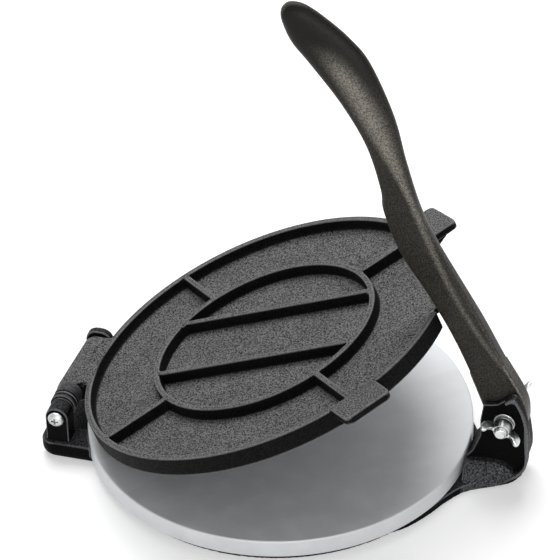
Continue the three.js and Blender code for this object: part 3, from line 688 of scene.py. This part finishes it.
def tab_parts(plates, tabs):
    """The two lifting tabs with a gusset under each side"""
    low, _, high = plate_levels(plates)
    under = high - tabs.thickness
    keep_out = rod(plates.radius - plates.rim_width / 2, 0, 2 * high, 192)
    root_inset, edge, gusset_half = 0.0054, 0.0013, 0.002
    root, half = plates.radius - root_inset, tabs.width / 2
    parts = []
    for reach, turn in ((tabs.near_length, -tabs.near_angle), (tabs.far_length, tabs.far_angle)):
        end, corner = plates.radius + reach, tabs.corner
        plan = eased([(root, -half, 0), (end, -half, corner), (end, half, corner), (root, half, 0)])
        foot, top = low + plates.edge_round, under + 0.0005
        gusset = [(root, foot), (plates.radius, foot), (end - corner, top), (root, top)]
        pieces = [slab(plan, under, high, edge)]
        for side in (-1, 1):
            middle = side * (half - corner)
            pieces.append(wall(gusset, middle - gusset_half, middle + gusset_half))
        parts += [turned(carved(piece, keep_out), turn) for piece in pieces]
    return parts


def arm_section(plates, arm, y, reach, nose_round, inward):
    """One section of the hinge arm: from the rim over a flat crest to a round nose past the screw"""
    low, _, high = plate_levels(plates)
    start = -plates.radius + plates.rim_width - SEAT_GAP / 2
    bottom = low + plates.edge_round + inward
    crest = high + arm.rise - inward
    nose = reach - inward
    under = arc(HINGE.x, HINGE.z, nose, 270, 180, 10)
    over = arc(HINGE.x - nose + nose_round, crest - nose_round, nose_round, 180, 90, 8)
    return [
        (start, y, high - inward), (start, y, bottom), (-plates.radius, y, bottom),
        *[(x, y, z) for x, z in under], *[(x, y, z) for x, z in over], (HINGE.x + arm.crest, y, crest),
    ]


def divided(rings, step):
    """The same rings with points added, so that no edge of the first is longer than a step"""
    first = rings[0]
    counts = [max(1, ceil(dist(a, b) / step)) for a, b in zip(first, [*first[1:], first[0]])]
    full = []
    for ring in rings:
        ends = np.array(ring), np.array([*ring[1:], ring[0]])
        full.append([tuple(a * (1 - k / n) + b * k / n) for a, b, n in zip(*ends, counts) for k in range(n)])
    return full


def arm_part(plates, arm, bore):
    """The arm from the rim to the hinge screw, bored for the screw"""
    end = arm.end_round
    stations = [
        (arm.near, arm.near_reach, arm.near_round, end / 2),
        (arm.near + end / 2, arm.near_reach, arm.near_round, 0),
        (arm.near + arm.flare, arm.near_reach, arm.near_round, 0),
        (arm.far - 3 * end, arm.far_reach, arm.far_round, 0),
        (arm.far - end, arm.far_reach, arm.far_round, end / 4),
        (arm.far, arm.far_reach, arm.far_round, end),
    ]
    outer = divided([arm_section(plates, arm, *station) for station in stations], step=0.0014)
    inner = []
    for ring in reversed(outer):
        turns = [(atan2(z - HINGE.z, x - HINGE.x), y) for x, y, z in ring]
        inner.append([(HINGE.x + bore * cos(t), y, HINGE.z + bore * sin(t)) for t, y in turns])
    points, faces = skin([*outer, *inner], True)
    shoulder = HINGE.x + arm.crest
    flared = []
    for x, y, z in points:
        share = clamped((x - shoulder) / (-plates.radius - shoulder))
        flared.append((x, y + share * max(0.0, arm.flare - (y - arm.near) / 2), z))
    return flared, faces


def threaded(radius, low, high, pitch, steps=40):
    """A shank whose surface rises and falls once a turn along its length, narrower at both ends"""
    count = max(2, round((high - low) / pitch * 8))
    rings = []
    for k in range(count + 1):
        z = low + (high - low) * k / count
        taper = min(1.0, 0.45 + (z - low) / pitch, 0.45 + (high - z) / pitch)
        ring = []
        for t in whole_turn(steps):
            phase = (z / pitch - t / (2 * pi)) % 1
            groove = pitch * 0.5 * abs(2 * phase - 1)
            r = radius * min(1.0, 0.8 + 0.2 * taper) - groove
            ring.append((r * cos(t), r * sin(t), z))
        rings.append(ring)
    return skin(rings)


def cross_blades(tip, reach, width, depth):
    """Two crossed wedges that cut a cross recess into a head facing -Y"""
    (wide, start), (narrow, end) = (reach / 2, tip - 0.001), (reach * 0.3, tip + depth)
    outline = [(-wide, start), (wide, start), (narrow, end), (-narrow, end)]
    blade = slab(outline, -width / 2, width / 2)
    return blade, turned(blade, radians(90), "Y")


def wing_parts(sizes, reach, root, height, turn):
    """Two wings in the plane of the turning axis, swept outwards and away from the hub"""
    inner = sizes.bolt_radius + sizes.bore_gap + 0.0005
    near = root - height * 0.56

    # Each bend is the place that it leans towards and the place where it ends
    bends = [
        ((reach * 0.55, near), (reach * 0.66, root - height * 0.84)),
        ((reach * 0.74, root - height), (reach * 0.86, root - height * 0.97)),
        ((reach * 1.02, root - height * 0.86), (reach * 0.95, root - height * 0.5)),
        ((reach * 0.84, root - height * 0.06), (sizes.nut_base * 0.8, root)),
    ]
    outline = [(inner, root), (inner, near)]
    for bend in bends:
        a, b, c = (np.array(p) for p in (outline[-1], *bend))
        for t in np.linspace(0, 1, 9)[1:]:
            outline.append(tuple(a * (1 - t) ** 2 + b * 2 * t * (1 - t) + c * t**2))
    half = sizes.wing_thickness / 2
    one = slab(outline, -half, half, half * 0.55, 3)
    return [turned(turned(one, flip, "Y"), -turn, "Y") for flip in (0, pi)]


class PRESS_OT_base(bpy.types.Operator):
    """Soften the edges of the base casting and give it its black coating"""

    bl_idname = "press.base"
    bl_label = "Base casting"

    # Where painted light on the bracket's rim begins and where it is full, towards the near side and
    # outwards
    rim_side = (-0.0125, -0.0142)
    rim_reach = (0.131, 0.133)
    rim_light_share = 0.8

    def execute(self, context):
        finish = context.scene.press_finish
        node = frame["nodes"]["base_casting"]
        weld = node.modifiers.new("Weld", "WELD")
        weld.merge_threshold = 0.00002
        cast(node, voxel=0.0006, passes=3)
        # Painted light: a little on upward faces, more on the bracket rim's face, and paler edges
        coat = sand_cast("base_black", finish.base_black, finish.base_lit_grey, depth=0.00012,
                         low=0.3, high=0.95, top_light=0.3, rough=0.4, gloss=0.02, raised=self.bracket_rim_light)
        node.data.materials.clear()
        node.data.materials.append(coat)
        return {"FINISHED"}

    def bracket_rim_light(self, graph):
        """Painted light on the face of the bracket's raised rim, which stands out towards the near side,
        while the recessed web stays dark
        """
        side = graph.ease(graph.along("y"), *self.rim_side)
        return side * graph.ease(graph.along("x"), *self.rim_reach) * self.rim_light_share


class PRESS_OT_lower_plate(bpy.types.Operator):
    """Build the bright lower plate with its hub and screw bosses below"""

    bl_idname = "press.lower_plate"
    bl_label = "Lower plate"

    def execute(self, context):
        scene = context.scene
        plates, fasteners = scene.press_plates, scene.press_fasteners
        low, high = LOWER_LOW.z, LOWER_HIGH.z
        ceiling = high - plates.lower_floor
        inner = plates.radius - plates.lower_wall
        profile = eased([
            (AXIS, low, 0), (plates.hub_radius, low, 0.0006), (plates.hub_radius - 0.0004, ceiling, 0.002),
            (inner - 0.0004, ceiling, 0.002), (inner, low, 0.0006), (plates.radius, low, plates.edge_round),
            (plates.radius, high, plates.edge_round), (AXIS, high, 0),
        ])
        parts = [lathe(profile, 320)]
        outer, hole = plates.boss_radius, fasteners.plate_screw_radius + fasteners.bore_gap
        top = ceiling + SEAT_GAP
        boss = lathe([(hole, low), (outer, low), (outer, top), (hole, top)], 48, True)
        for number in (1, 2, 3):
            middle = sum(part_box(f"plate_screw_{number}"), Vector()) / 2
            parts.append(moved(boss, middle.x, middle.y, 0))
        plate = machined("lower_plate_disc", parts)
        metal = satin_metal("lower_silver", scene.press_finish.silver,
                            rough=0.5, size=0.0011, depth=0.00003, metallic=0.2)
        finish_piece(plate, metal, "base", "lower_silver", "lower_plate")
        return {"FINISHED"}


class PRESS_OT_top_plate(bpy.types.Operator):
    """Build the ribbed top plate with its hinge arm, tabs and notch"""

    bl_idname = "press.top_plate"
    bl_label = "Top plate"

    def execute(self, context):
        scene = context.scene
        plates, finish = scene.press_plates, scene.press_finish
        bore = scene.press_fasteners.screw_radius + scene.press_fasteners.bore_gap
        parts = [dish(plates), *rib_parts(plates, scene.press_ribs), *tab_parts(plates, scene.press_tabs)]
        parts.append(arm_part(plates, scene.press_arm, bore))
        plate = casting("top_plate_casting", parts, voxel=0.0007, passes=3)
        about = Matrix.Translation(HINGE)
        plate.matrix_world = about @ Matrix.Rotation(-plates.open_angle, 4, "Y") @ about.inverted()
        # Painted light on the top plate: upward faces lit grey, walls painted nearly black as shade
        coat = sand_cast("top_black", finish.top_black, finish.top_lit_grain, depth=0.00026)
        finish_piece(plate, coat, "plate", "top_black", "top_plate")
        return {"FINISHED"}


class PRESS_OT_lever(bpy.types.Operator):
    """Build the upright lever with its foot and heel"""

    bl_idname = "press.lever"
    bl_label = "Lever"

    # Both sides of the outline, from the foot up, as shares of the reach
    inner_shares = [
        (-0.078, 0.097), (-0.119, 0.19), (-0.169, 0.28), (-0.223, 0.367), (-0.257, 0.461),
        (-0.263, 0.512), (-0.291, 0.609), (-0.339, 0.698), (-0.401, 0.783), (-0.436, 0.828),
        (-0.454, 0.872), (-0.4565, 0.893),
    ]
    outer_shares = [
        (0.035, 0.048), (-0.008, 0.128), (-0.054, 0.222), (-0.106, 0.318), (-0.151, 0.403),
        (-0.183, 0.48), (-0.21, 0.579), (-0.235, 0.686), (-0.281, 0.8), (-0.321, 0.851),
        (-0.369, 0.891), (-0.409, 0.915), (-0.44, 0.9175), (-0.4545, 0.905),
    ]
    # The painted highlight down the grip: its place outwards as a cubic of its height, its half-width low
    # and high on the grip, both as shares of the reach, and how strongly it is painted
    ridge_highlight_line = (-0.9627, 1.3990, -1.0626, 0.1026)
    ridge_highlight_half = (0.011, 0.042)
    ridge_highlight_share = 0.62
    # Exponent of the grip's round sections, and how much greater it is at the foot
    grip_power = 2.15
    foot_power = 4.4
    # Shares of the length at which the sections begin to turn round and the end begins to close,
    # and over which they do so
    turning = (0.1, 0.52)
    closing = (0.95, 0.052)

    def execute(self, context):
        scene = context.scene
        sizes, fasteners, finish = scene.press_lever, scene.press_fasteners, scene.press_finish
        outer, inner = [[(x * sizes.reach, z * sizes.reach) for x, z in shares]
                        for shares in (self.outer_shares, self.inner_shares)]
        foot = [(sizes.boss_radius * 0.9, -sizes.heel_drop * 0.7), (sizes.boss_radius, 0)]
        heel = sizes.heel_thickness / 2
        meets = degrees(asin((sizes.heel_offset - heel) / sizes.boss_radius))
        outline = [*spline([*foot, *outer[:2]], 10), *spline([inner[0], (-sizes.boss_radius, 0)], 4),
                   *arc(0, 0, sizes.boss_radius, 180, 270 + meets, 16)[1:],
                   *arc(sizes.heel_offset, -sizes.heel_drop, heel, 180, 360, 20)]
        half = sizes.thickness / 2
        face = (LEVER_HIGH.y - LEVER_LOW.y) / 2
        past = 0.02
        hole = along_y(rod(fasteners.bolt_radius + fasteners.bore_gap, -past, past, 48))
        boss = along_y(rod(sizes.face_radius, -face, face, 64))
        sides = [foot[1], *outer], [(-sizes.boss_radius, 0), *inner]
        blade = self.blade(sizes, *(spline(side, 24) for side in sides))
        parts = [carved(part, hole) for part in (wall(outline, -half, half, 0.001), boss, blade)]
        lever = casting("lever_casting", [moved(part, *PIVOT) for part in parts], voxel=0.0008, passes=6)
        coat = powder_coat("lever_bronze_black", finish.lever_black, finish.lever_bronze,
                           self.ridge_highlight, self.tip)
        finish_piece(lever, coat, "handle", "lever_bronze_black", "lever")
        return {"FINISHED"}

    def share(self, graph, axis):
        """How far a place lies from the bolt along an axis, as a share of the lever's reach"""
        return (graph.along(axis) - getattr(PIVOT, axis)) / bpy.context.scene.press_lever.reach

    def tip(self, graph):
        """Painted shade: less bronze, so darker, towards the grip's end"""
        return graph.ease(self.share(graph, "z"), 0.62, 0.84, 1.0, 0.12)

    def ridge_highlight(self, graph):
        """A painted highlight that runs down the middle of the grip and nearer to the outer edge below it"""
        height = self.share(graph, "z")
        line = height * self.ridge_highlight_line[0] + self.ridge_highlight_line[1]
        for term in self.ridge_highlight_line[2:]:
            line = line * height + term
        off = graph.calculate("ABSOLUTE", self.share(graph, "x") - line)
        wide = graph.ease(height, 0.5, 0.72, *self.ridge_highlight_half)
        top, middle = graph.ease(height, 0.85, 0.76), graph.ease(height, 0.3, 0.68, 0.45, 1.0)
        along = top * middle * graph.ease(height, 0.05, 0.2)
        return graph.ease(off / wide, 1.0, 0.0) * along * self.ridge_highlight_share

    def blade(self, sizes, outer, inner):
        """The lever above its foot: squarish sections low down that turn into a round grip"""
        outer, inner = (resampled(side, 160) for side in (outer, inner))
        rings = []
        for k, (a, b) in enumerate(zip(outer, inner)):
            share = k / (len(outer) - 1)
            turning, closing = (clamped((share - at) / over) for at, over in (self.turning, self.closing))
            squareness = self.grip_power + self.foot_power * (1 - turning) ** 1.4
            close = sqrt(1 - closing**2)
            middle, across = (a + b) / 2, (a - b) / 2 * (0.8 + 0.2 * close)
            half = sizes.thickness / 2 * (0.12 + 0.88 * close)
            ring = []
            for t in whole_turn(64):
                u, v = (copysign(abs(w) ** (2 / squareness), w) for w in (cos(t), sin(t)))
                x, z = middle + across * u
                ring.append((x, -half * v, z))
            rings.append(ring)
        return skin(rings)


class PRESS_OT_hinge(bpy.types.Operator):
    """Build the hinge screw with its cross recess, the grooved collar and the nut"""

    bl_idname = "press.hinge"
    bl_label = "Hinge screw, collar and nut"

    def execute(self, context):
        scene = context.scene
        sizes, finish = scene.press_fasteners, scene.press_finish
        zinc = satin_metal("zinc", finish.zinc, rough=0.3, size=0.0008, depth=0.00004, dull=0.5)
        low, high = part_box("hinge_screw")
        nut_low, nut_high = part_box("hinge_nut")
        head, shank = sizes.screw_head, sizes.screw_radius
        lug_width = 0.0138
        face = COLLAR_LOW.y - lug_width
        profile = dome(head, low.y, (face - low.y) * 0.85, 12)
        profile += [(head, face - 0.0004), (head - 0.0003, face), (shank, face), (shank, nut_low.y - 0.004)]
        blades = cross_blades(low.y, reach=0.0066, width=0.0014, depth=0.0019)
        solid = carved(along_y(lathe(profile, 64)), *blades)
        thread = along_y(threaded(shank, nut_low.y - 0.0045, high.y, sizes.thread_pitch * 0.8))
        zinc_piece("hinge_screw_crosshead", [solid, thread], HINGE, zinc, "base", "hinge_screw")

        radius = (COLLAR_HIGH.z - COLLAR_LOW.z) / 2
        bore = shank + sizes.bore_gap
        groove, ring = 0.0011, 0.0032
        corners = [(bore, COLLAR_LOW.y, 0.0002), (radius, COLLAR_LOW.y, 0.0006)]
        for number in (1, 2):
            at = COLLAR_LOW.y + number * ring
            corners += [(radius, at - groove, 0.0005), (radius - groove, at, 0.0006)]
            corners.append((radius, at + groove, 0.0005))
        corners += [(radius, COLLAR_HIGH.y, 0.0006), (bore, COLLAR_HIGH.y, 0.0002)]
        turned_part = along_y(lathe(eased(corners, 4), 72, True))
        collar = machined("hinge_collar_turned", [moved(turned_part, *HINGE)], sharp=50)
        # Painted light on the collar's upward faces and its edges
        coat = sand_cast("collar_black", finish.base_black, finish.base_lit_grey, depth=0.00005,
                         low=0.5, high=1.0, top_light=0.4, rough=0.36)
        finish_piece(collar, coat, "base", "base_black", "hinge_collar")

        across = (nut_high.x - nut_low.x) / 2
        corner = across / cos(pi / 6)
        turns = whole_turn(96)
        flats = [across / cos((t + pi / 6) % (pi / 3) - pi / 6) for t in turns]
        rings = []
        for y, limit in ((nut_low.y, across), (nut_low.y + 0.0004, corner), (nut_high.y - 0.0005, corner),
                         (nut_high.y, across * 0.97), (nut_high.y, bore), (nut_low.y, bore)):
            radii = [min(flat, limit) for flat in flats]
            rings.append([(r * cos(t), y, -r * sin(t)) for r, t in zip(radii, turns)])
        zinc_piece("hinge_nut_hex", [skin(rings, True)], HINGE, zinc, "base", "hinge_nut", 28)
        return {"FINISHED"}


class PRESS_OT_plate_screws(bpy.types.Operator):
    """Build the three screws that hold the lower plate from below"""

    bl_idname = "press.plate_screws"
    bl_label = "Plate screws"

    def execute(self, context):
        scene = context.scene
        sizes = scene.press_fasteners
        head, head_height, shank = 0.00495, 0.0022, sizes.plate_screw_radius
        zinc = satin_metal("screw_zinc", scene.press_finish.zinc, rough=0.26, size=0.0012, depth=0.00002)
        for number in (1, 2, 3):
            low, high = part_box(f"plate_screw_{number}")
            middle = (low + high) / 2
            seat = low.z + head_height
            profile = dome(head, low.z, 0.0018, 10)
            profile += [(head, seat - 0.0002), (head - 0.0002, seat), (shank, seat), (shank, seat + 0.0015)]
            blades = cross_blades(tip=0, reach=0.0054, width=0.0012, depth=0.0014)
            blades = [moved(turned(blade, radians(90), "X"), 0, 0, low.z) for blade in blades]
            thread = threaded(shank, seat + 0.001, high.z, pitch=0.001)
            parts = [carved(lathe(profile, 48), *blades), thread]
            node = f"plate_screw_{number}"
            zinc_piece(f"{node}_crosshead", parts, (middle.x, middle.y, 0), zinc, "base", node)
        return {"FINISHED"}


class PRESS_OT_lever_bolt(bpy.types.Operator):
    """Build the lever's bolt with its winged head, the washers, the spring washer and the wing nut"""

    bl_idname = "press.lever_bolt"
    bl_label = "Lever bolt, washers and wing nut"

    # How far wings begin from the seated face of the head or nut
    wing_inset = 0.0007

    def execute(self, context):
        scene = context.scene
        sizes = scene.press_fasteners
        zinc = satin_metal("bolt_zinc", scene.press_finish.zinc,
                           rough=0.3, size=0.0008, depth=0.00004, dull=0.28)
        bolt = sizes.bolt_radius
        hole = bolt + sizes.bore_gap
        for node in ("near_washer", "far_washer"):
            profile = self.washer_section(node, hole, (0.0003, 0.0005, 0.0003, 0.0002), 5)
            zinc_piece(f"{node}_flat", [along_y(lathe(profile, 64, True))], PIVOT, zinc, "base", node)

        section = self.washer_section("spring_washer", hole, (0.0002, 0.0003, 0.0003, 0.0002), 3)
        rings = []
        for t in np.radians(np.linspace(-78, 246, 73)):
            rings.append([(r * cos(t), y, r * sin(t)) for r, y in section])
        zinc_piece("spring_washer_split", [skin(rings)], PIVOT, zinc, "base", "spring_washer")

        low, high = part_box("lever_bolt")
        _, washer_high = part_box("far_washer")
        seat = washer_high.y + SEAT_GAP
        thread_length, head_height = 0.014, 0.0045
        shank_end = low.y + thread_length
        shank = along_y(rod(bolt, shank_end - 0.0005, seat + 0.001, 64))
        thread = along_y(threaded(bolt, low.y, shank_end, sizes.thread_pitch, 56))
        wide, top = sizes.head_radius, seat + head_height
        head = eased([(AXIS, seat, 0), (wide, seat, 0.0005), (wide * 0.82, top, 0.0012), (AXIS, top, 0)])
        head = along_y(lathe(head, 64))
        wings = wing_parts(sizes, sizes.head_wing_reach, -seat - self.wing_inset,
                           sizes.head_wing_height, sizes.head_wing_angle)
        wings = [turned(part, pi) for part in wings]
        zinc_piece("lever_bolt_winged", [shank, thread, head, *wings], PIVOT, zinc, "base", "lever_bolt")

        low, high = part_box("wing_nut")
        far, near = high.y, high.y - sizes.nut_height
        top, base = sizes.nut_top, sizes.nut_base
        hub = along_y(lathe(eased([
            (hole, near, 0.0003), (top, near, 0.0006), (base, far - 0.0022, 0.0012),
            (base, far, 0.0005), (hole, far, 0.0003)]), 72, True))
        bore = along_y(rod(hole, low.y - 0.01, far + 0.01, 48))
        wings = wing_parts(sizes, sizes.wing_reach, far - self.wing_inset,
                           sizes.wing_height, sizes.wing_angle)
        wings = [carved(part, bore) for part in wings]
        zinc_piece("wing_nut_cast", [hub, *wings], PIVOT, zinc, "nut", "wing_nut")
        return {"FINISHED"}

    def washer_section(self, node, hole, setbacks, steps):
        """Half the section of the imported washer, from its hole outwards, with its corners rounded"""
        low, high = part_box(node)
        outer = (high.x - low.x) / 2
        places = zip((hole, outer, outer, hole), (low.y, low.y, high.y, high.y), setbacks)
        return eased(list(places), steps)


class PRESS_OT_stage(bpy.types.Operator):
    """Set up the floor, the lamps and the camera"""

    bl_idname = "press.stage"
    bl_label = "Floor, lamps and camera"

    # The camera fitted to the photograph: its place, its directions right, up and back, and its lens in mm
    camera_place = (0.5516, -1.8122, 1.5836)
    camera_axes = ((0.9618, 0.2726, -0.0236), (-0.1478, 0.5903, 0.7936), (0.2302, -0.7598, 0.6081))
    camera_lens = 234.1
    # Diameter and place of each lamp
    lamps = {
        "key": (1.6, (-0.35, 0.75, 1.7)),
        "fill": (1.6, (0.9, -1.6, 1.2)),
        "side": (0.5, (0.45, -2.0, 0.38)),
    }
    # Grey that the floor adds for the camera near the press and far off, and the two distances
    glow = (0.4, 1.0)
    glow_reach = (0.35, 1.5)

    def execute(self, context):
        scene = context.scene
        stage = scene.press_stage
        floor = to_object("floor", to_mesh("floor", [rod(radius=4, low=-0.02, high=0, steps=96)]))
        floor.data.materials.append(self.floor_finish(stage))
        self.surround(scene, stage)
        for name, (size, location) in self.lamps.items():
            self.lamp(scene, f"{name}_lamp", getattr(stage, name), size, location)
        camera = bpy.data.objects.new("camera", bpy.data.cameras.new("camera"))
        scene.collection.objects.link(camera)
        turn = Matrix(self.camera_axes).transposed().to_4x4()
        camera.matrix_world = Matrix.Translation(self.camera_place) @ turn
        camera.data.sensor_width = 36
        camera.data.lens = self.camera_lens
        camera.data.clip_end = 30
        scene.camera = camera
        scene.view_settings.view_transform = "Standard"
        return {"FINISHED"}

    def floor_finish(self, stage):
        """A plain floor that keeps the shadow and shows white where it is fully lit"""
        graph = Graph(bpy.data.materials.new("floor"))
        shade = graph.noise(0.4, 2.0)
        graph.feed(graph.shader, {
            "Base Color": graph.mix(shade, scaled(stage.floor, 0.99), stage.floor),
            "Roughness": 0.9, "Specular IOR Level": 0.1})
        seen = self.seen(graph)
        away = graph.node("VectorMath", {"operation": "LENGTH"}, {0: graph.place()}, output=1)
        near, far = ([grey] * 3 for grey in self.glow)
        glow = graph.node("Emission", sockets={
            "Color": graph.mix(graph.ease(away, *self.glow_reach), near, far), "Strength": 1.0})
        plain = Socket(graph, graph.shader.outputs[0])
        lit = graph.node("AddShader", sockets={0: plain, 1: glow})
        blend = graph.node("MixShader", sockets={0: seen, 1: plain, 2: lit})
        out = next(node for node in graph.nodes if node.type == "OUTPUT_MATERIAL")
        graph.feed(out, {"Surface": blend})
        return graph.owner

    def seen(self, graph):
        """1 for rays from the camera, of a reflection or through glass"""
        kinds = ("Is Camera Ray", "Is Glossy Ray", "Is Transmission Ray")
        camera, glossy, glass = (graph.node("LightPath", output=kind) for kind in kinds)
        return graph.calculate("MINIMUM", camera + glossy + glass, 1.0)

    def surround(self, scene, stage):
        """Even light from all round, seen as plain white"""
        scene.world = bpy.data.worlds.new("surround")
        graph = Graph(scene.world)
        strength = self.seen(graph) * (1 - stage.surround) + stage.surround
        graph.feed(graph.shader, {"Color": (1, 1, 1, 1), "Strength": strength})

    def lamp(self, scene, name, power, size, location):
        data = bpy.data.lights.new(name, "AREA")
        data.shape = "DISK"
        data.size = size
        data.energy = power
        lamp = bpy.data.objects.new(name, data)
        scene.collection.objects.link(lamp)
        aim = Vector((0, 0, 0.05)) - Vector(location)
        lamp.matrix_world = Matrix.Translation(location) @ aim.to_track_quat("-Z", "Y").to_matrix().to_4x4()


PIECES = (
    PRESS_OT_base, PRESS_OT_lower_plate, PRESS_OT_plate_screws, PRESS_OT_top_plate,
    PRESS_OT_hinge, PRESS_OT_lever, PRESS_OT_lever_bolt, PRESS_OT_stage,
)


class PRESS_PT_panel(bpy.types.Panel):
    """The press's pieces, one button each"""

    bl_idname = "PRESS_PT_panel"
    bl_label = "Tortilla press"
    bl_space_type = "VIEW_3D"
    bl_region_type = "UI"
    bl_category = "Press"

    def draw(self, context):
        for operator in PIECES:
            self.layout.operator(operator.bl_idname)


GROUPS = {
    "press_plates": PlateSizes,
    "press_ribs": RibSizes,
    "press_tabs": TabSizes,
    "press_arm": ArmSizes,
    "press_lever": LeverSizes,
    "press_fasteners": FastenerSizes,
    "press_finish": FinishColours,
    "press_stage": StageSettings,
}


def register():
    for name, group in GROUPS.items():
        bpy.utils.register_class(group)
        setattr(bpy.types.Scene, name, bpy.props.PointerProperty(type=group))
    for cls in (*PIECES, PRESS_PT_panel):
        bpy.utils.register_class(cls)


def unregister():
    for cls in (PRESS_PT_panel, *reversed(PIECES)):
        bpy.utils.unregister_class(cls)
    for name, group in reversed(GROUPS.items()):
        delattr(bpy.types.Scene, name)
        bpy.utils.unregister_class(group)


def main():
    register()
    for operator in PIECES:
        getattr(bpy.ops.press, operator.bl_idname.split(".")[1])()


if __name__ == "__main__":
    main()
